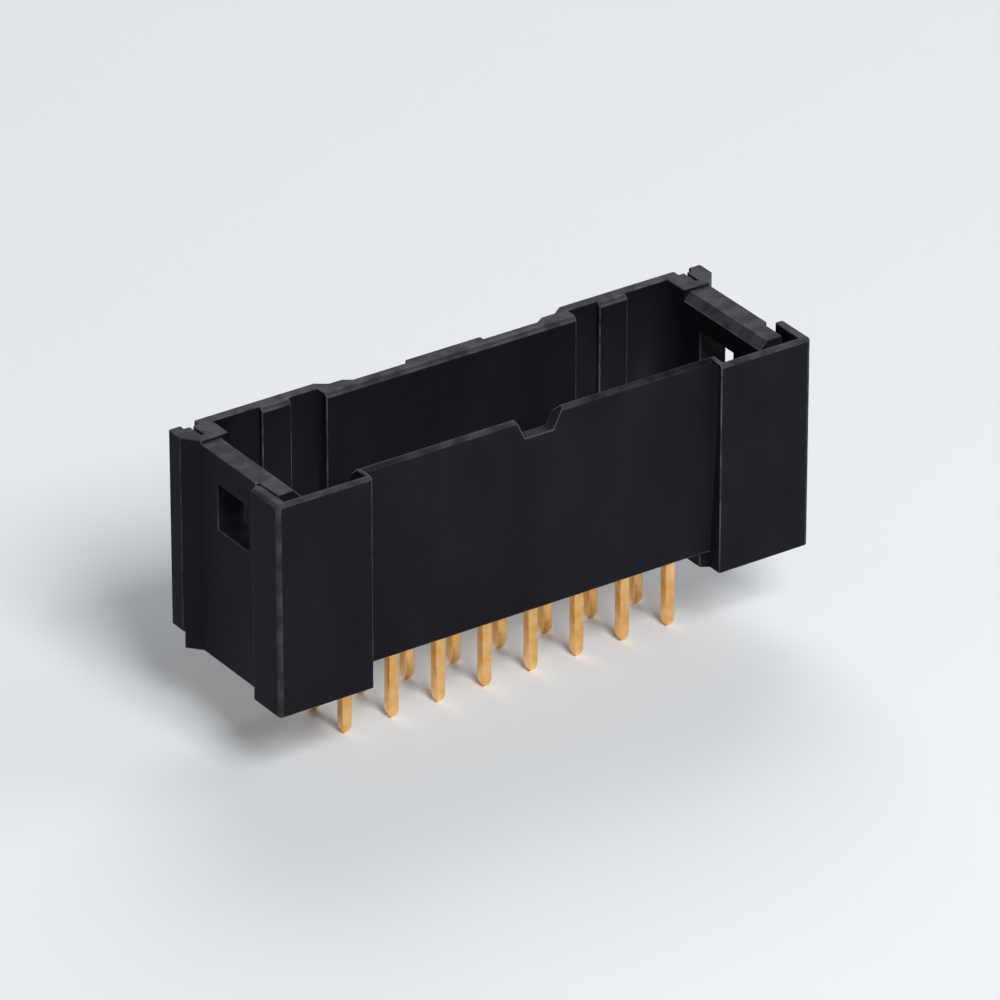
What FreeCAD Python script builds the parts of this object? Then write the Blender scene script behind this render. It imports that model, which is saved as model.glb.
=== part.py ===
import FreeCAD, Part
import os
import Sketcher

# Shrouded pin header, two rows of straight contacts in one open-topped moulded housing.
# Frame: X along the rows, Y to the back, Z up. The origin is the middle of the contact field
# on the seating plane, where the two feet of the housing stand on the board.
# All lengths are in millimetres.

SIZES = {
    "columns": 8,
    "pitch": 2.54,
    "row_gap": 2.54,
    "contact_side": 0.5,
    "contact_clearance": 0.0,
    "tail_reach": 3.97,
    "post_top": 6.45,
    "contact_taper": 0.45,
    "contact_point": 0.22,
    "height": 10.7,
    "standoff": 0.84,
    "floor_thickness": 1.7,
    "end_reach": 5.55,
    "end_wall": 1.46,
    "end_wall_drop": 0.18,
    "end_wall_lead": 0.42,
    "corner_skin": 0.49,
    "corner_gap": 0.09,
    "corner_depth": 2.15,
    "block_length": 4.99,
    "block_step": 0.75,
    "front_wall": 0.65,
    "front_skin": 0.45,
    "corner_slot": 0.75,
    "pocket_length": 2.7,
    "cavity_half_depth": 3.15,
    "rear_wall": 1.25,
    "rear_skin": 0.5,
    "rear_step": 0.4,
    "rear_panel": 0.57,
    "rear_panel_half": 5.0,
    "rear_slope": 0.45,
    "rear_shelf": 0.7,
    "rear_block_length": 6.4,
    "rear_inset": 0.76,
    "rear_boss_half": 2.07,
    "rear_boss_proud": 0.26,
    "pillar_end": 2.43,
    "pillar_width": 1.57,
    "pillar_depth": 0.3,
    "groove_width": 1.58,
    "flank_run": 0.75,
    "flank_share": 0.93,
    "rib_proud": 0.64,
    "rib_set_back": 0.1,
    "rib_length": 0.95,
    "rib_width": 0.65,
    "rib_heel": 0.3,
    "slit_width": 0.29,
    "slit_length": 1.45,
    "slit_depth": 1.2,
    "rear_slit_width": 0.16,
    "rear_slit_inset": 0.31,
    "rear_slit_length": 0.95,
    "window_half": 1.28,
    "window_sill": 6.8,
    "window_height": 2.3,
    "notch_top_half": 1.24,
    "notch_bottom_half": 0.76,
    "notch_depth": 1.0,
    "rim_lead": 0.18,
    "front_lead": 0.42,
    "skin_lead": 0.2,
    "rim_round": 0.18,
    "foot_overlap": 0.4,
    "foot_bevel": 0.25,
    "foot_set_back": 0.8,
    "corner_round": 0.2,
    "edge_round": 0.1,
}


class Size:
    """A length with its present value and the sheet formula that it is bound to."""

    def __init__(self, value, formula):
        self.value = value
        self.formula = formula

    def _combined(self, other, sign, result):
        formula = other.formula if isinstance(other, Size) else repr(other)
        return Size(result, f"({self.formula} {sign} {formula})")

    def __add__(self, other):
        return self._combined(other, "+", self.value + number(other))

    def __sub__(self, other):
        return self._combined(other, "-", self.value - number(other))

    def __mul__(self, other):
        return self._combined(other, "*", self.value * number(other))

    def __truediv__(self, other):
        return self._combined(other, "/", self.value / number(other))

    def __neg__(self):
        return Size(-self.value, f"(0 - {self.formula})")


def number(size):
    """Gives the present value of a size, or of a plain number."""
    return size.value if isinstance(size, Size) else float(size)


def make_sheet(document):
    """Writes the driving dimensions to a sheet and gives them back by name."""
    sheet = document.addObject("Spreadsheet::Sheet", "Sizes")
    for line, (name, value) in enumerate(SIZES.items(), start=1):
        sheet.set(f"A{line}", name)
        sheet.set(f"B{line}", str(value))
        sheet.setAlias(f"B{line}", name)
    document.recompute()
    return {name: Size(float(value), f"Sizes.{name}") for name, value in SIZES.items()}


def origin_plane(body, role):
    """Finds one of the body's own origin planes."""
    return next(item for item in body.Origin.OriginFeatures if item.Role == role)


def make_body(document, label):
    """Starts a sub-part whose label is also the name of its file."""
    body = document.addObject("PartDesign::Body", label)
    body.Label = label
    return body


def outline_sketch(body, name, outlines, level, role="XY_Plane"):
    """Draws closed outlines of (across, up) sizes on an origin plane, moved along its normal to a level."""
    sketch = body.newObject("Sketcher::SketchObject", name)
    sketch.AttachmentSupport = [(origin_plane(body, role), "")]
    sketch.MapMode = "FlatFace"
    sketch.setExpression("AttachmentOffset.Base.z", level.formula)
    for outline in outlines:
        first = sketch.GeometryCount
        corners = [FreeCAD.Vector(number(across), number(up), 0) for across, up in outline]
        following = corners[1:] + corners[:1]
        sketch.addGeometry([Part.LineSegment(a, b) for a, b in zip(corners, following)], False)
        for index, point in enumerate(outline):
            line = first + index
            next_line = first + (index + 1) % len(outline)
            sketch.addConstraint(Sketcher.Constraint("Coincident", line, 2, next_line, 1))
            for kind, size in zip(("DistanceX", "DistanceY"), point):
                constraint = Sketcher.Constraint(kind, -1, 1, line, 1, number(size))
                place = sketch.addConstraint(constraint)
                sketch.setExpression(f"Constraints[{place}]", size.formula)
    return sketch


def rectangle(left, right, low, high):
    """Gives the four corners of a rectangle."""
    return [(left, low), (right, low), (right, high), (left, high)]


def mirrored(half):
    """Completes an outline, given anticlockwise from the front middle to the rear middle, to the left."""
    return half + [(-across, up) for across, up in reversed(half)]


def both_ends(outline):
    """Gives an outline at the right end and its mirror image at the left end."""
    return [outline, [(-across, up) for across, up in reversed(outline)]]


def pad(body, name, sketch, length):
    """Raises a sketch along its normal."""
    feature = body.newObject("PartDesign::Pad", name)
    feature.Profile = sketch
    feature.setExpression("Length", length.formula)
    sketch.Visibility = False
    return feature


def pocket(body, name, sketch, depth):
    """Cuts a sketch against its normal and stops if nothing was cut."""
    before = body.Tip.Shape.Volume
    feature = body.newObject("PartDesign::Pocket", name)
    feature.Profile = sketch
    feature.setExpression("Length", depth.formula)
    sketch.Visibility = False
    body.Document.recompute()
    if not feature.Shape.Volume < before:
        raise ValueError(f"{name} cuts nothing")
    return feature


def dress(body, kind, name, edges, size):
    """Rounds or chamfers the named edges of the body's last feature."""
    base = body.Tip
    feature = body.newObject(f"PartDesign::{kind}", name)
    feature.Base = (base, edges)
    feature.setExpression("Radius" if kind == "Fillet" else "Size", size.formula)
    body.Document.recompute()
    return feature


def upright_edges(shape, corners, tolerance=0.01):
    """Names the upright edges that stand at the given plan corners."""
    names = []
    for index, edge in enumerate(shape.Edges, start=1):
        start, end = edge.firstVertex().Point, edge.lastVertex().Point
        if abs(start.x - end.x) > tolerance or abs(start.y - end.y) > tolerance:
            continue
        for across, up in corners:
            if abs(start.x - number(across)) < tolerance and abs(start.y - number(up)) < tolerance:
                names.append(f"Edge{index}")
    return names


def level_edges(shape, level, test, tolerance=0.01):
    """Names the straight edges at one height whose middle and direction pass a test."""
    names = []
    for index, edge in enumerate(shape.Edges, start=1):
        start, end = edge.firstVertex().Point, edge.lastVertex().Point
        if abs(start.z - number(level)) > tolerance or abs(end.z - number(level)) > tolerance:
            continue
        if test((start + end) / 2, end - start):
            names.append(f"Edge{index}")
    return names


def runs_along(middle, run, faces, tolerance=0.01):
    """Tells whether an edge runs along X in one of the given upright planes."""
    in_plane = any(abs(middle.y - number(face)) < tolerance for face in faces)
    return in_plane and abs(run.y) < tolerance


class Plan:
    """Places in plan that several features of the housing share."""

    def __init__(self, size):
        self.field_half = (size["columns"] - 1) * size["pitch"] / 2
        self.end = self.field_half + size["end_reach"]
        self.skin_inner = self.end - size["corner_skin"]
        self.wall_outer = self.skin_inner - size["corner_gap"]
        self.wall_inner = self.wall_outer - size["end_wall"]
        self.block = self.end - size["block_length"]
        self.front_panel = -size["cavity_half_depth"] - size["front_wall"]
        self.front = self.front_panel - size["block_step"]
        self.front_inner = self.front + size["front_skin"]
        self.wall_front = self.front_inner + size["corner_slot"]
        self.corner_back = self.front + size["corner_depth"]
        self.rear = size["cavity_half_depth"] + size["rear_wall"]
        self.rear_inner = self.rear - size["rear_skin"]
        self.rear_panel = size["cavity_half_depth"] + size["rear_panel"]
        self.rib = self.wall_outer + size["rib_proud"]
        self.rib_back = self.rear - size["rib_set_back"]
        self.flank_end = self.rib_back - size["rib_length"]
        self.flank_start = self.flank_end - size["flank_run"]
        self.rear_end = self.wall_outer - size["rear_inset"]
        self.pillar_outer = self.wall_inner - size["pillar_end"]
        self.pillar_inner = self.pillar_outer - size["pillar_width"]
        self.groove_inner = self.pillar_inner - size["groove_width"]
        self.floor = size["standoff"] + size["floor_thickness"]


def outer_outline(size, plan):
    """Gives the housing's outline above its feet, with its front blocks, rear ribs and rear panel."""
    block_end = plan.rear_end - size["rear_block_length"]
    step = plan.rear - size["rear_step"]
    slope_end = size["rear_panel_half"] + size["rear_slope"]
    shelf_end = slope_end + size["rear_shelf"]
    boss = plan.rear_panel + size["rear_boss_proud"]
    heel = plan.rib - size["rib_width"]
    heel_back = plan.rib_back - size["rib_heel"]
    half = [
        (plan.block, plan.front_panel),
        (plan.block, plan.front),
        (plan.end, plan.front),
        (plan.end, plan.corner_back),
        (plan.wall_outer, plan.corner_back),
        (plan.wall_outer, plan.flank_start),
        (plan.rib, plan.flank_end),
        (plan.rib, plan.rib_back),
        (heel, plan.rib_back),
        (heel, heel_back),
        (plan.rear_end, heel_back),
        (plan.rear_end, plan.rear),
        (block_end, plan.rear),
        (shelf_end, step),
        (slope_end, step),
        (size["rear_panel_half"], plan.rear_panel),
        (size["rear_boss_half"], plan.rear_panel),
        (size["rear_boss_half"], boss),
    ]
    return mirrored(half)


def foot_outline(size, plan):
    """Gives the right foot, which carries the end of the housing on the board."""
    inner = plan.block - size["foot_overlap"]
    bevel_y = plan.front_panel + size["foot_bevel"]
    flank_x = plan.wall_outer + size["rib_proud"] * size["flank_share"]
    flank_y = plan.flank_start + size["flank_run"] * size["flank_share"]
    heel = plan.rib - size["rib_width"]
    back = plan.rear - size["foot_set_back"]
    return [
        (plan.block, plan.front),
        (plan.end, plan.front),
        (plan.end, plan.corner_back),
        (plan.wall_outer, plan.corner_back),
        (plan.wall_outer, plan.flank_start),
        (flank_x, flank_y),
        (heel, back),
        (inner, back),
        (inner, bevel_y),
        (plan.block, plan.front_panel),
    ]


def cavity_outline(size, plan):
    """Gives the plug cavity with its front corner slots, rear pillars and the grooves beside them."""
    shoulder = plan.wall_inner - size["pocket_length"]
    half = [
        (shoulder, -size["cavity_half_depth"]),
        (shoulder, plan.front_inner),
        (plan.skin_inner, plan.front_inner),
        (plan.skin_inner, plan.wall_front),
        (plan.wall_inner, plan.wall_front),
        (plan.wall_inner, plan.rear_inner),
        (plan.pillar_outer, plan.rear_inner),
        (plan.pillar_outer, plan.rear_inner - size["pillar_depth"]),
        (plan.pillar_inner, plan.rear_inner - size["pillar_depth"]),
        (plan.pillar_inner, plan.rear_inner),
        (plan.groove_inner, plan.rear_inner),
        (plan.groove_inner, size["cavity_half_depth"]),
    ]
    return mirrored(half)


def contact_places(size, plan):
    """Lists each contact's row name, column number and plan position."""
    places = []
    for row, sign in (("front", -1), ("back", 1)):
        for column in range(int(number(size["columns"]))):
            along = size["pitch"] * column - plan.field_half
            places.append((row, column + 1, along, size["row_gap"] / 2 * sign))
    return places


def contact_square(half, along, across):
    """Gives a square of the given half side about a contact's place."""
    return rectangle(along - half, along + half, across - half, across + half)


def mould_shell(body, size, plan):
    """Raises the walls and feet and sinks the plug cavity between the walls."""
    outer = outline_sketch(body, "outer_outline", [outer_outline(size, plan)], size["standoff"])
    pad(body, "walls", outer, size["height"] - size["standoff"])
    feet = outline_sketch(body, "feet_outline", both_ends(foot_outline(size, plan)), size["standoff"] * 0)
    pad(body, "feet", feet, size["standoff"])
    body.Document.recompute()
    cavity = outline_sketch(body, "cavity_outline", [cavity_outline(size, plan)], size["height"])
    pocket(body, "cavity", cavity, size["height"] - plan.floor)


def cut_end_walls(body, size, plan):
    """Lowers the end walls, slits them from the corners and opens a latch window in each."""
    drop = rectangle(plan.wall_inner - size["end_wall"], plan.skin_inner, plan.wall_front, plan.flank_start)
    lowered = outline_sketch(body, "end_wall_tops", both_ends(drop), size["height"])
    pocket(body, "lowered_end_walls", lowered, size["end_wall_drop"])
    front_slit = rectangle(
        plan.skin_inner - size["slit_width"], plan.skin_inner,
        plan.wall_front - size["corner_slot"] / 2, plan.wall_front + size["slit_length"],
    )
    rear_slit_outer = plan.wall_outer - size["rear_slit_inset"]
    rear_slit = rectangle(
        rear_slit_outer - size["rear_slit_width"], rear_slit_outer,
        plan.rib_back - size["rib_heel"] - size["rear_slit_length"], plan.rib_back + size["rib_heel"],
    )
    slits = outline_sketch(body, "slit_outlines", both_ends(front_slit) + both_ends(rear_slit), size["height"])
    pocket(body, "corner_slits", slits, size["slit_depth"])
    opening = rectangle(
        -size["window_half"], size["window_half"],
        size["window_sill"], size["window_sill"] + size["window_height"],
    )
    reach = plan.end + size["corner_skin"]
    window = outline_sketch(body, "window_outline", [opening], reach, "YZ_Plane")
    pocket(body, "latch_windows", window, reach * 2)


def cut_notch(body, size, plan):
    """Cuts the tapered polarising notch into the middle of the front wall."""
    low = size["height"] - size["notch_depth"]
    high = size["height"] + size["notch_depth"]
    slope = (size["notch_top_half"] - size["notch_bottom_half"]) / size["notch_depth"]
    high_half = size["notch_top_half"] + slope * size["notch_depth"]
    outline = [
        (-size["notch_bottom_half"], low),
        (size["notch_bottom_half"], low),
        (high_half, high),
        (-high_half, high),
    ]
    sketch = outline_sketch(body, "notch_outline", [outline], -plan.front, "XZ_Plane")
    pocket(body, "polarising_notch", sketch, -plan.front)


def cut_contact_holes(body, size, plan):
    """Pierces the floor with one square hole for each contact."""
    half = size["contact_side"] / 2 + size["contact_clearance"]
    squares = [contact_square(half, along, across) for _, _, along, across in contact_places(size, plan)]
    sketch = outline_sketch(body, "contact_holes", squares, plan.floor)
    pocket(body, "contact_seats", sketch, plan.floor)


def finish_edges(body, size, plan):
    """Rounds the upright corners and gives the cavity rim its lead-in chamfers."""
    front_corners = [(plan.end, plan.front), (-plan.end, plan.front)]
    dress(body, "Fillet", "front_corners", upright_edges(body.Tip.Shape, front_corners), size["corner_round"])
    block_end = plan.rear_end - size["rear_block_length"]
    right = [
        (plan.rib, plan.flank_end),
        (plan.rib, plan.rib_back),
        (plan.rear_end, plan.rear),
        (block_end, plan.rear),
        (size["rear_boss_half"], plan.rear_panel + size["rear_boss_proud"]),
    ]
    corners = right + [(-across, up) for across, up in right]
    dress(body, "Fillet", "small_corners", upright_edges(body.Tip.Shape, corners), size["edge_round"])
    pillar_face = plan.rear_inner - size["pillar_depth"]
    rims = [
        ("Fillet", "front_rim", [plan.front, plan.front_panel], size["rim_round"]),
        ("Chamfer", "front_skin_lead_in", [plan.front_inner], size["skin_lead"]),
        ("Chamfer", "front_lead_in", [-size["cavity_half_depth"]], size["front_lead"]),
        ("Chamfer", "rear_lead_in", [size["cavity_half_depth"], pillar_face], size["rim_lead"]),
    ]
    for kind, name, faces, width in rims:
        edges = level_edges(body.Tip.Shape, size["height"], lambda middle, run: runs_along(middle, run, faces))
        dress(body, kind, name, edges, width)

    def on_end_wall(middle, run):
        return abs(run.x) < 0.01 and abs(abs(middle.x) - number(plan.wall_inner)) < 0.01

    lowered_top = size["height"] - size["end_wall_drop"]
    ends = level_edges(body.Tip.Shape, lowered_top, on_end_wall)
    dress(body, "Chamfer", "end_wall_lead_in", ends, size["end_wall_lead"])


def make_housing(document, size, plan):
    """Builds the one-piece moulded housing."""
    body = make_body(document, "housing")
    mould_shell(body, size, plan)
    cut_end_walls(body, size, plan)
    cut_notch(body, size, plan)
    cut_contact_holes(body, size, plan)
    finish_edges(body, size, plan)
    return body


def loft(body, name, profile, section):
    """Joins two sketches with straight flanks."""
    feature = body.newObject("PartDesign::AdditiveLoft", name)
    feature.Profile = profile
    feature.Sections = [section]
    feature.Ruled = True
    return feature


def make_contact(document, size, label, along, across):
    """Builds one straight square contact with a coined taper at each end."""
    body = make_body(document, label)
    half = size["contact_side"] / 2
    point = size["contact_point"] / 2
    shank_low = size["contact_taper"] - size["tail_reach"]
    shank_high = size["post_top"] - size["contact_taper"]
    shank = outline_sketch(body, f"{label}_section", [contact_square(half, along, across)], shank_low)
    pad(body, f"{label}_shank", shank, shank_high - shank_low)
    for end, level, tip in (("tail", shank_low, -size["tail_reach"]), ("post", shank_high, size["post_top"])):
        base = outline_sketch(body, f"{label}_{end}_base", [contact_square(half, along, across)], level)
        top = outline_sketch(body, f"{label}_{end}_point", [contact_square(point, along, across)], tip)
        loft(body, f"{label}_{end}_taper", base, top)
    document.recompute()
    return body


def check(document, bodies):
    """Stops if any object failed or any sub-part isn't one valid solid."""
    for item in document.Objects:
        if "Invalid" in item.State or "Error" in item.State:
            raise ValueError(f"{item.Label} failed: {item.State}")
    for body in bodies:
        shape = body.Shape
        if shape.isNull() or not shape.isValid() or len(shape.Solids) != 1:
            raise ValueError(f"{body.Label} is not one valid solid")


def main():
    """Builds every sub-part, checks the document and writes one file for each sub-part."""
    document = FreeCAD.newDocument("pin_header")
    size = make_sheet(document)
    plan = Plan(size)
    bodies = [make_housing(document, size, plan)]
    for row, column, along, across in contact_places(size, plan):
        bodies.append(make_contact(document, size, f"contact_{row}_{column}", along, across))
    document.recompute()
    check(document, bodies)
    os.makedirs("parts", exist_ok=True)
    for body in bodies:
        body.Shape.exportStep(f"parts/{body.Label}.step")
        print(f"{body.Label}: volume {body.Shape.Volume:.3f} mm3")


main()
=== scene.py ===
import logging
import math
from dataclasses import dataclass, field
from enum import Enum

import bmesh
import bpy
from mathutils import Matrix, Vector


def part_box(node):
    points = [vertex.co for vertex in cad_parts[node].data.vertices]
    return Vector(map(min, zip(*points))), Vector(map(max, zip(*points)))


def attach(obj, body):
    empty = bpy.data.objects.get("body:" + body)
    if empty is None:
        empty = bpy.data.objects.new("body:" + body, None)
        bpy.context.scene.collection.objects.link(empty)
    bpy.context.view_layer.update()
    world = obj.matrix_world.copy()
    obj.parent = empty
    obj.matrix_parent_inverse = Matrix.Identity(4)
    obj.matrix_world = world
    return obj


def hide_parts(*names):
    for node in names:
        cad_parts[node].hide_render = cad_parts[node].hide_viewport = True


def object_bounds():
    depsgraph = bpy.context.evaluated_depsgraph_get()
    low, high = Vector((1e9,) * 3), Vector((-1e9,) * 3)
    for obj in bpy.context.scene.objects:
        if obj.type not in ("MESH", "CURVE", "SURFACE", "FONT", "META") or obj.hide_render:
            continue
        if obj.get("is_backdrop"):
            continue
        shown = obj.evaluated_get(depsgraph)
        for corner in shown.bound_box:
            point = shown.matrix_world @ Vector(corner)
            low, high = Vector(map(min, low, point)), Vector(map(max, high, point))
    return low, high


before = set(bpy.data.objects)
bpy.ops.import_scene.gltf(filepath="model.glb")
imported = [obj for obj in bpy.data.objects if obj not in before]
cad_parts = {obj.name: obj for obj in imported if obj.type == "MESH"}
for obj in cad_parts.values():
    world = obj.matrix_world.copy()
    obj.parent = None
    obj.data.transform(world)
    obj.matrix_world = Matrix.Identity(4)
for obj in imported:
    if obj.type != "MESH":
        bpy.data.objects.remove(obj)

log = logging.getLogger("pin_header")
MM = 0.001
ROOT = "root"

Colour = tuple[float, float, float]
Span = tuple[float, float]

NOISE_MIDDLE = 0.5
ROUND_PROFILE = 0.5
# The Mix node's sockets that carry colours: its two inputs and its result.
MIX_LOW, MIX_HIGH, MIX_COLOUR = 6, 7, 2
# Where along an edge the room beside it is measured, and the least reach that counts, in metres.
EDGE_SHARES = (0.1, 0.5, 0.9)
LEAST_REACH = 1e-7


class Row(Enum):
    """The two rows of contacts, by the word in their nodes' names."""

    FRONT = "front"
    BACK = "back"


class LampRole(Enum):
    """What each studio lamp does."""

    KEY = "key_lamp"
    FILL = "fill_lamp"
    REAR = "rear_lamp"


class Term:
    """One value in a shader, so that shader maths reads as plain arithmetic."""

    def __init__(self, board: "Board", socket: bpy.types.NodeSocket) -> None:
        """Wraps an output socket of the given board."""
        self.board = board
        self.socket = socket

    def _math(self, operation: str, *values: "Term | float") -> "Term":
        """Adds one Math node.

        Args:
            operation: The node's operation.
            values: Its inputs, in order.

        Returns:
            The node's result.
        """
        return self.board.add("ShaderNodeMath", {"operation": operation}, dict(enumerate(values)))

    def __add__(self, other: "Term | float") -> "Term":
        """Adds a term or a number."""
        return self._math("ADD", self, other)

    def __radd__(self, other: float) -> "Term":
        """Adds this term to a number."""
        return self._math("ADD", other, self)

    def __sub__(self, other: "Term | float") -> "Term":
        """Subtracts a term or a number."""
        return self._math("SUBTRACT", self, other)

    def __rsub__(self, other: float) -> "Term":
        """Subtracts this term from a number."""
        return self._math("SUBTRACT", other, self)

    def __mul__(self, other: "Term | float") -> "Term":
        """Multiplies by a term or a number."""
        return self._math("MULTIPLY", self, other)

    def __rmul__(self, other: float) -> "Term":
        """Multiplies a number by this term."""
        return self._math("MULTIPLY", other, self)

    def clamped(self) -> "Term":
        """Limits the value to the range from 0 to 1."""
        return self.board.add("ShaderNodeClamp", {}, {"Value": self})

    def mapped(self, low: float, high: float) -> "Term":
        """Stretches a range over 0 to 1, smoothly and clamped.

        Args:
            low: The value that becomes 0.
            high: The value that becomes 1.

        Returns:
            The stretched value.
        """
        settings = {"interpolation_type": "SMOOTHSTEP"}
        inputs = {"Value": self, "From Min": low, "From Max": high}
        return self.board.add("ShaderNodeMapRange", settings, inputs)


class Board:
    """The node tree of one material or of the world."""

    def __init__(self, owner: bpy.types.Material | bpy.types.World, output: str) -> None:
        """Clears the owner's tree down to one output.

        Args:
            owner: The material or world.
            output: The type of its output node.
        """
        self.owner = owner
        self.owner.use_nodes = True
        self.tree = self.owner.node_tree
        self.tree.nodes.clear()
        self.output = self.tree.nodes.new(output)

    @classmethod
    def for_material(cls, name: str) -> "Board":
        """Starts a new material of the given name."""
        return cls(bpy.data.materials.new(name), "ShaderNodeOutputMaterial")

    def add(self, kind: str, settings: dict, inputs: dict, output: str | int = 0) -> Term:
        """Adds any node.

        Args:
            kind: The node's type.
            settings: Its settings, which are made first.
            inputs: Values or terms for its sockets, by name or number.
            output: The output socket that is wanted.

        Returns:
            That output as a term.
        """
        node = self.tree.nodes.new(kind)
        for name, value in settings.items():
            setattr(node, name, value)
        for socket, value in inputs.items():
            if isinstance(value, Term):
                self.tree.links.new(value.socket, node.inputs[socket])
            else:
                node.inputs[socket].default_value = value
        return Term(self, node.outputs[output])

    def coordinates(self) -> Term:
        """Gives places on the piece in its own frame, in metres."""
        return self.add("ShaderNodeTexCoord", {}, {}, "Object")

    def noise(self, grain: float, detail: float = 2.0, stretch: Colour = (1.0, 1.0, 1.0)) -> Term:
        """Gives a cloudy pattern.

        Args:
            grain: The size of its spots in metres.
            detail: How many finer layers it has.
            stretch: How much shorter it repeats along each axis.

        Returns:
            A value about 0.5, from 0 to 1.
        """
        place = self.add("ShaderNodeMapping", {}, {"Vector": self.coordinates(), "Scale": stretch})
        inputs = {"Vector": place, "Scale": 1.0 / grain, "Detail": detail}
        return self.add("ShaderNodeTexNoise", {}, inputs)

    def attribute(self, name: str) -> Term:
        """Reads a number that is stored on the piece's faces."""
        return self.add("ShaderNodeAttribute", {"attribute_name": name}, {}, "Fac")

    def blend(self, factor: Term, low: Term | Colour, high: Colour) -> Term:
        """Mixes two colours.

        Args:
            factor: The share of the second colour, from 0 to 1.
            low: The first colour, plain or from other nodes.
            high: The second colour.

        Returns:
            The mixed colour.
        """
        first = low if isinstance(low, Term) else (*low, 1.0)
        inputs = {"Factor": factor, MIX_LOW: first, MIX_HIGH: (*high, 1.0)}
        return self.add("ShaderNodeMix", {"data_type": "RGBA"}, inputs, MIX_COLOUR)

    def bump(self, height: Term, depth: float) -> Term:
        """Turns a height from 0 to 1 into a surface relief of the given depth in metres."""
        inputs = {"Height": height, "Distance": depth, "Strength": 1.0}
        return self.add("ShaderNodeBump", {}, inputs)

    def finish(self, surface: Term) -> None:
        """Joins a shader to the output."""
        self.tree.links.new(surface.socket, self.output.inputs["Surface"])

    def shade(self, inputs: dict) -> bpy.types.Material:
        """Adds the surface shader and gives the finished material."""
        self.finish(self.add("ShaderNodeBsdfPrincipled", {}, inputs))
        return self.owner


@dataclass(frozen=True)
class MouldedPlastic:
    """Black glass-filled moulding: satin skin, flow clouds, fibre grain, and a lighter grey on
    marked faces: painted highlights on edges with some edge wear, painted light on the top rim.
    """

    name: str = "housing_plastic"
    base: Colour = (0.0120, 0.0130, 0.0175)
    cloud: Colour = (0.0095, 0.0100, 0.0130)
    # Lighter grey for marked faces: painted highlight on edges and narrow strips, partly edge
    # wear, and painted light on the top rim.
    rubbed_and_highlight: Colour = (0.085, 0.085, 0.092)
    sheen: float = 0.03
    roughness: float = 0.48
    roughness_spread: float = 0.12
    flow_grain: float = 3.2 * MM
    flow_stretch: Colour = (1.0, 1.0, 0.45)
    flow_relief: float = 0.6
    cloud_span: Span = (0.35, 0.68)
    fibre_grain: float = 0.10 * MM
    fibre_stretch: Colour = (0.5, 1.0, 1.0)
    fibre_depth: float = 0.004 * MM
    fibre_roughness: float = 0.10
    # Patchiness of the painted highlights and edge wear.
    wear_highlight_grain: float = 0.9 * MM
    wear_highlight_span: Span = (0.36, 0.62)
    wear_highlight_least: float = 0.35
    wear_highlight_patches: float = 0.65
    wear_polish: float = 0.06

    def material(self) -> bpy.types.Material:
        """Builds the material.

        Returns:
            The finished material.
        """
        board = Board.for_material(self.name)
        flow = board.noise(self.flow_grain, 3.0, self.flow_stretch)
        fibre = board.noise(self.fibre_grain, 2.0, self.fibre_stretch)
        patchy = board.noise(self.wear_highlight_grain, 3.0).mapped(*self.wear_highlight_span)
        share = self.wear_highlight_least + patchy * self.wear_highlight_patches
        # Mask of painted highlights on edges, partly edge wear, and of painted light on the top
        # rim, broken into patches.
        wear_and_highlight = (board.attribute("edge_wear_and_highlight") * share).clamped()
        skin = board.blend(flow.mapped(*self.cloud_span), self.cloud, self.base)
        rough = self.roughness + (flow - NOISE_MIDDLE) * self.roughness_spread
        rough += (fibre - NOISE_MIDDLE) * self.fibre_roughness
        return board.shade({
            "Base Color": board.blend(wear_and_highlight, skin, self.rubbed_and_highlight),
            "Roughness": rough - wear_and_highlight * self.wear_polish,
            "Specular IOR Level": self.sheen,
            "Normal": board.bump(fibre + flow * self.flow_relief, self.fibre_depth),
        })


@dataclass(frozen=True)
class GoldPlate:
    """Thin gold over drawn copper-alloy wire: warm metal with fine lengthwise drawing marks."""

    name: str = "contact_gold"
    bright: Colour = (1.0, 0.61, 0.25)
    deep: Colour = (0.94, 0.49, 0.14)
    roughness: float = 0.26
    roughness_spread: float = 0.16
    mark_width: float = 0.03 * MM
    mark_stretch: Colour = (1.0, 1.0, 0.06)
    mark_depth: float = 0.0012 * MM
    tarnish_grain: float = 0.7 * MM
    tarnish_span: Span = (0.34, 0.66)

    def material(self) -> bpy.types.Material:
        """Builds the material.

        Returns:
            The finished material.
        """
        board = Board.for_material(self.name)
        marks = board.noise(self.mark_width, 2.0, self.mark_stretch)
        tone = board.noise(self.tarnish_grain, 2.0).mapped(*self.tarnish_span)
        return board.shade({
            "Base Color": board.blend(tone, self.deep, self.bright),
            "Metallic": 1.0,
            "Roughness": self.roughness + (marks - NOISE_MIDDLE) * self.roughness_spread,
            "Normal": board.bump(marks, self.mark_depth),
        })


@dataclass(frozen=True)
class PaleFloor:
    """Matt pale studio paper."""

    name: str = "studio_paper"
    light: Colour = (0.86, 0.88, 0.90)
    shade: Colour = (0.83, 0.86, 0.89)
    grain: float = 40.0 * MM
    roughness: float = 0.9
    sheen: float = 0.2

    def material(self) -> bpy.types.Material:
        """Builds the material.

        Returns:
            The finished material.
        """
        board = Board.for_material(self.name)
        tone = board.noise(self.grain, 2.0)
        return board.shade({
            "Base Color": board.blend(tone, self.shade, self.light),
            "Roughness": self.roughness,
            "Specular IOR Level": self.sheen,
        })


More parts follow.
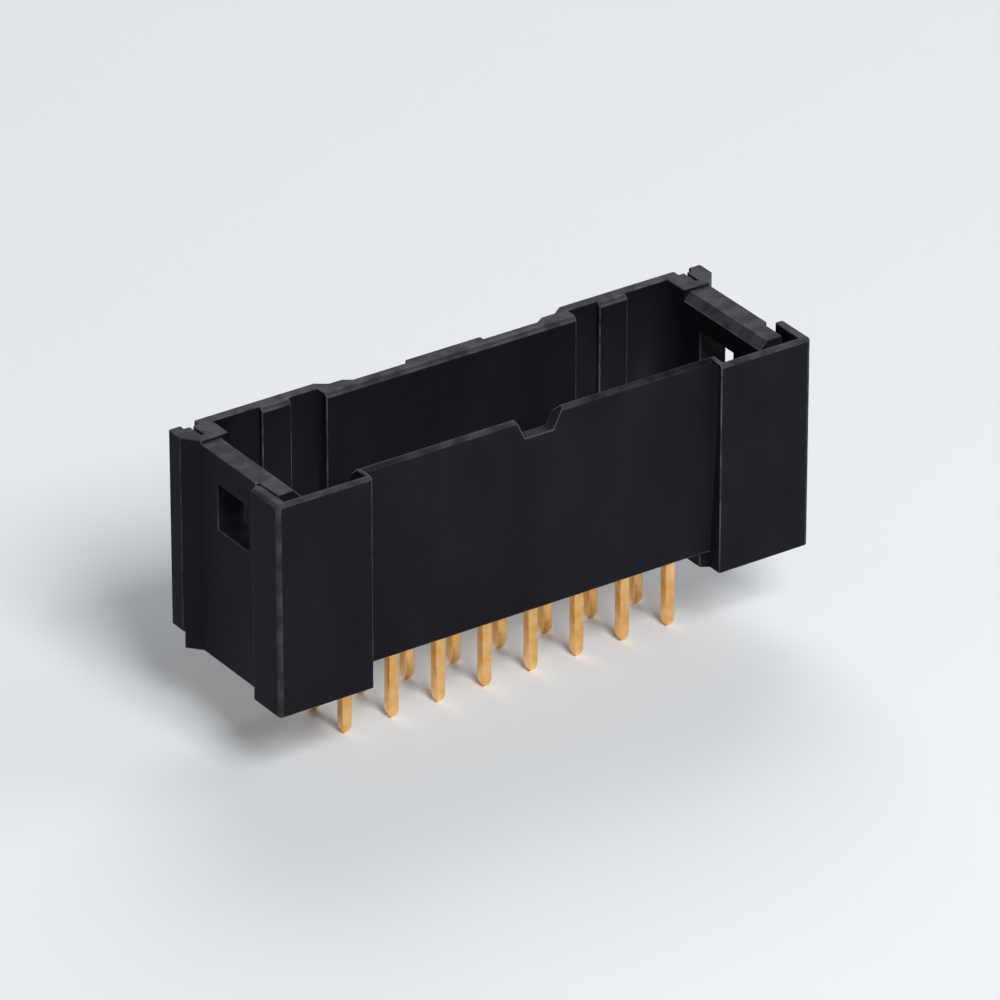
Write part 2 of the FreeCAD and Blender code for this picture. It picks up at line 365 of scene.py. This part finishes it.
@dataclass
class HousingShell:
    """The one-piece moulded housing, with the tiny edge radii that the tool leaves."""

    node: str = "housing"
    slot: str = "housing_plastic"
    merge_distance: float = 0.0005 * MM
    flat_angle: float = math.radians(0.6)
    sharp_angle: float = math.radians(32.0)
    edge_radius: float = 0.055 * MM
    edge_segments: int = 3
    edge_room: float = 2.4
    # Narrow strips such as small fillets get a painted highlight.
    strip_width: float = 0.09 * MM
    strip_painted_highlight: float = 0.55
    rim_depth: float = 0.5 * MM
    rim_facing: float = 0.6
    # Painted light: the top rim is made lighter, as if lit from above.
    rim_painted_light: float = 0.55
    area_weight: int = 80
    finish: MouldedPlastic = field(default_factory=MouldedPlastic)

    def merged_copy(self) -> bmesh.types.BMesh:
        """Copies the node's mesh, joins its triangles and clears the lines across its flats.

        Returns:
            The cleaned mesh.
        """
        mesh = bmesh.new()
        mesh.from_mesh(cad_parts[self.node].data)
        bmesh.ops.remove_doubles(mesh, verts=mesh.verts[:], dist=self.merge_distance)
        bmesh.ops.dissolve_limit(
            mesh, angle_limit=self.flat_angle, verts=mesh.verts[:], edges=mesh.edges[:],
            use_dissolve_boundaries=False, delimit=set(),
        )
        return mesh

    def break_edges(self, mesh: bmesh.types.BMesh) -> None:
        """Rounds outer edges and marks the faces that get a lighter colour: rounded edges and
        narrow strips as painted highlights with some edge wear, and the top rim as painted light.

        An edge beside a face too narrow for the radius stays sharp, or the rounding would overlap.

        Args:
            mesh: The mesh to work on.
        """
        # Share of lighter colour per face: painted highlights on edges and narrow strips, partly
        # edge wear, and painted light on the top rim.
        wear_and_highlight = mesh.faces.layers.float.new("edge_wear_and_highlight")
        mesh.normal_update()
        # Upward faces near the top get painted light, a lighter colour as if lit from above.
        rim = max(vertex.co.z for vertex in mesh.verts) - self.rim_depth
        for face in mesh.faces:
            longest = max(edge.calc_length() for edge in face.edges)
            narrow = face.calc_area() < self.strip_width * longest
            on_rim = face.normal.z > self.rim_facing and face.calc_center_median().z > rim
            face[wear_and_highlight] = max(self.strip_painted_highlight * narrow, self.rim_painted_light * on_rim)
        room = self.edge_room * self.edge_radius
        sharp = [
            edge for edge in mesh.edges
            if edge.is_manifold and edge.calc_face_angle_signed(0.0) > self.sharp_angle
            and all(face_room(face, edge) > room for face in edge.link_faces)
        ]
        made = bmesh.ops.bevel(
            mesh, geom=sharp, offset=self.edge_radius, offset_type="OFFSET",
            segments=self.edge_segments, profile=ROUND_PROFILE, affect="EDGES",
            clamp_overlap=False, loop_slide=True, material=-1,
        )
        # The rounded edges get the full lighter colour: a painted highlight, with some edge wear.
        for face in made["faces"]:
            face[wear_and_highlight] = 1.0
        bmesh.ops.dissolve_degenerate(mesh, edges=mesh.edges[:], dist=self.merge_distance)

    def build(self) -> bpy.types.Object:
        """Makes the housing and puts it in place of its node.

        Returns:
            The finished piece.
        """
        mesh = self.merged_copy()
        self.break_edges(mesh)
        piece = new_piece("housing_shell", mesh)
        weighted = piece.modifiers.new("even_shading", "WEIGHTED_NORMAL")
        weighted.keep_sharp = False
        weighted.weight = self.area_weight
        return place(piece, self.node, self.slot, self.finish.material())


@dataclass
class Contact:
    """One straight square contact with coined, rounded ends."""

    node: str
    slot: str = "contact_gold"
    corner_radius: float = 0.06 * MM
    corner_segments: int = 3
    nose_length: float = 0.45 * MM
    nose_steps: tuple[Span, ...] = ((0.30, 0.95), (0.60, 0.80), (0.84, 0.58), (1.0, 0.36))
    upright_rise: float = 0.01 * MM

    def taper(self, mesh: bmesh.types.BMesh, end: float, direction: float, side: float) -> None:
        """Draws one end out to its nose.

        Args:
            mesh: The mesh to work on.
            end: The height of the contact's end.
            direction: 1 for the upper end, -1 for the lower one.
            side: The side of the square shank.
        """
        face = max(mesh.faces, key=lambda f: f.calc_center_median().z * direction)
        start = end - direction * self.nose_length
        for share, width in self.nose_steps:
            face = bmesh.ops.extrude_discrete_faces(mesh, faces=[face])["faces"][0]
            centre = face.calc_center_median()
            scale = width * side / face.edges[0].calc_length()
            bmesh.ops.scale(
                mesh, verts=face.verts[:], vec=(scale, scale, 1.0),
                space=Matrix.Translation(-centre),
            )
            rise = start + direction * share * self.nose_length - centre.z
            bmesh.ops.translate(mesh, verts=face.verts[:], vec=(0.0, 0.0, rise))

    def build(self, material: bpy.types.Material) -> bpy.types.Object:
        """Makes the contact in place of its node.

        Args:
            material: The gold finish that all contacts share.

        Returns:
            The finished piece.
        """
        low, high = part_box(self.node)
        side = high.x - low.x
        middle = (low + high) / 2
        shank = high.z - low.z - 2 * self.nose_length
        mesh = bmesh.new()
        bmesh.ops.create_cube(mesh, size=1.0)
        bmesh.ops.scale(mesh, verts=mesh.verts[:], vec=(side, side, shank))
        bmesh.ops.translate(mesh, verts=mesh.verts[:], vec=middle)
        self.taper(mesh, high.z, 1.0, side)
        self.taper(mesh, low.z, -1.0, side)
        upright = [
            edge for edge in mesh.edges
            if abs(edge.verts[0].co.z - edge.verts[1].co.z) > self.upright_rise
        ]
        bmesh.ops.bevel(
            mesh, geom=upright, offset=self.corner_radius, offset_type="OFFSET",
            segments=self.corner_segments, profile=ROUND_PROFILE, affect="EDGES",
            clamp_overlap=True, loop_slide=True, material=-1,
        )
        bmesh.ops.recalc_face_normals(mesh, faces=mesh.faces[:])
        piece = new_piece(self.node + "_wire", mesh)
        return place(piece, self.node, self.slot, material)


@dataclass
class ContactField:
    """The two rows of contacts."""

    columns: int = 8
    finish: GoldPlate = field(default_factory=GoldPlate)

    def build(self) -> list[bpy.types.Object]:
        """Makes every contact with one shared finish.

        Returns:
            The finished pieces.
        """
        gold = self.finish.material()
        columns = range(1, self.columns + 1)
        names = [f"contact_{row.value}_{column}" for row in Row for column in columns]
        return [Contact(name).build(gold) for name in names]


@dataclass
class Lamp:
    """One soft square lamp that faces the object."""

    role: LampRole
    azimuth: float
    elevation: float
    distance: float
    side: float
    power: float

    def build(self, target: Vector) -> bpy.types.Object:
        """Hangs the lamp.

        Args:
            target: The point that it faces.

        Returns:
            The lamp.
        """
        data = bpy.data.lights.new(self.role.value, "AREA")
        data.energy = self.power
        data.size = self.side
        turn, lift = math.radians(self.azimuth), math.radians(self.elevation)
        level = math.cos(lift)
        away = Vector((math.sin(turn) * level, -math.cos(turn) * level, math.sin(lift)))
        lamp = bpy.data.objects.new(self.role.value, data)
        bpy.context.scene.collection.objects.link(lamp)
        lamp.location = target + away * self.distance
        lamp.rotation_euler = away.to_track_quat("Z", "Y").to_euler()
        return lamp


@dataclass
class Viewpoint:
    """The photograph's camera: where it stands about the contact field and its lens."""

    azimuth: float = 34.193
    elevation: float = 28.273
    distance: float = 427.797 * MM
    aside: float = 0.36884 * MM
    above: float = 4.10716 * MM
    lens: float = 338.478
    sensor: float = 36.0

    def build(self) -> bpy.types.Object:
        """Sets up the camera.

        Returns:
            The camera.
        """
        turn, lift = math.radians(self.azimuth), math.radians(self.elevation)
        level = math.cos(lift)
        look = Vector((math.sin(turn) * level, math.cos(turn) * level, -math.sin(lift)))
        right = Vector((math.cos(turn), -math.sin(turn), 0.0))
        up = right.cross(look)
        data = bpy.data.cameras.new("camera")
        data.lens = self.lens
        data.sensor_width = self.sensor
        data.clip_start = 10.0 * MM
        camera = bpy.data.objects.new("camera", data)
        bpy.context.scene.collection.objects.link(camera)
        place_of_camera = right * self.aside + up * self.above - look * self.distance
        axes = Matrix((right, up, -look)).transposed().to_4x4()
        camera.matrix_world = Matrix.Translation(place_of_camera) @ axes
        bpy.context.scene.camera = camera
        return camera


@dataclass
class Studio:
    """The pale floor, the soft lamps, the surrounding light and the camera."""

    floor_side: float = 6.0
    surround: Colour = (0.84, 0.87, 0.90)
    surround_strength: float = 0.09
    view: Viewpoint = field(default_factory=Viewpoint)
    lamps: tuple[Lamp, ...] = (
        Lamp(LampRole.KEY, -8.0, 44.0, 0.50, 0.20, 2.1),
        Lamp(LampRole.FILL, 60.0, 35.0, 0.60, 0.30, 0.60),
        Lamp(LampRole.REAR, 146.0, 40.0, 0.60, 0.40, 1.60),
    )

    def build_floor(self, level: float) -> bpy.types.Object:
        """Lays the floor under the object.

        Args:
            level: The height that the object stands on.

        Returns:
            The floor.
        """
        mesh = bmesh.new()
        bmesh.ops.create_grid(mesh, x_segments=1, y_segments=1, size=self.floor_side / 2)
        bmesh.ops.translate(mesh, verts=mesh.verts[:], vec=(0.0, 0.0, level))
        floor = new_piece("floor", mesh)
        floor.data.materials.append(PaleFloor().material())
        floor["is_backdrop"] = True
        return floor

    def build_surround(self) -> None:
        """Lights the scene from all round and shows a pale background past the floor."""
        board = Board(bpy.data.worlds.new("surround"), "ShaderNodeOutputWorld")
        colour = (*self.surround, 1.0)
        dimmed = {"Color": colour, "Strength": self.surround_strength}
        dim = board.add("ShaderNodeBackground", {}, dimmed)
        plain = board.add("ShaderNodeBackground", {}, {"Color": colour})
        seen = board.add("ShaderNodeLightPath", {}, {}, "Is Camera Ray")
        for kind in ("Is Glossy Ray", "Is Transmission Ray"):
            ray = board.add("ShaderNodeLightPath", {}, {}, kind)
            seen = board.add("ShaderNodeMath", {"operation": "MAXIMUM"}, {0: seen, 1: ray})
        board.finish(board.add("ShaderNodeMixShader", {}, {"Fac": seen, 1: dim, 2: plain}))
        bpy.context.scene.world = board.owner

    def build(self) -> None:
        """Sets up everything round the object."""
        low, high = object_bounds()
        self.build_floor(low[2])
        self.build_surround()
        target = (Vector(low) + Vector(high)) / 2
        for lamp in self.lamps:
            lamp.build(target)
        self.view.build()
        bpy.context.scene.view_settings.view_transform = "Standard"


def face_room(face: bmesh.types.BMFace, edge: bmesh.types.BMEdge) -> float:
    """Measures how far a face reaches from one of its edges before it ends.

    Args:
        face: A flat face.
        edge: One of the face's edges.

    Returns:
        The least distance straight across the face, seen from three places on the edge.
    """
    start, end = (vertex.co for vertex in edge.verts)
    along = (end - start).normalized()
    across = face.normal.cross(along)
    loop = next(item for item in face.loops if item.edge == edge)
    if loop.vert != edge.verts[0]:
        across = -across
    least = math.inf
    for share in EDGE_SHARES:
        foot = start.lerp(end, share)
        for other in face.edges:
            if other == edge:
                continue
            first, last = (vertex.co - foot for vertex in other.verts)
            low, high = first.dot(along), last.dot(along)
            if low * high > 0 or low == high:
                continue
            reach = first.lerp(last, low / (low - high)).dot(across)
            if reach > LEAST_REACH:
                least = min(least, reach)
    return least


def new_piece(name: str, mesh: bmesh.types.BMesh) -> bpy.types.Object:
    """Turns a mesh into an object of the scene with smooth shading.

    Args:
        name: The object's name.
        mesh: The mesh, which is freed.

    Returns:
        The object.
    """
    data = bpy.data.meshes.new(name)
    mesh.to_mesh(data)
    mesh.free()
    data.shade_smooth()
    piece = bpy.data.objects.new(name, data)
    bpy.context.scene.collection.objects.link(piece)
    return piece


def place(
    piece: bpy.types.Object, node: str, slot: str, material: bpy.types.Material,
) -> bpy.types.Object:
    """Dresses a piece and lets it stand for its node.

    Args:
        piece: The finished piece.
        node: The node that it replaces.
        slot: The record's material slot; not used.
        material: Its finish.

    Returns:
        The piece.
    """
    piece.data.materials.append(material)
    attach(piece, ROOT)
    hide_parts(node)
    return piece


def main() -> None:
    """Builds the header and its studio."""
    logging.basicConfig(level=logging.INFO, format="%(name)s: %(message)s")
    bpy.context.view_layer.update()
    pieces = [HousingShell().build()] + ContactField().build()
    Studio().build()
    for piece in pieces:
        log.info("%s has %d faces", piece.name, len(piece.data.polygons))


if __name__ == "__main__":
    main()
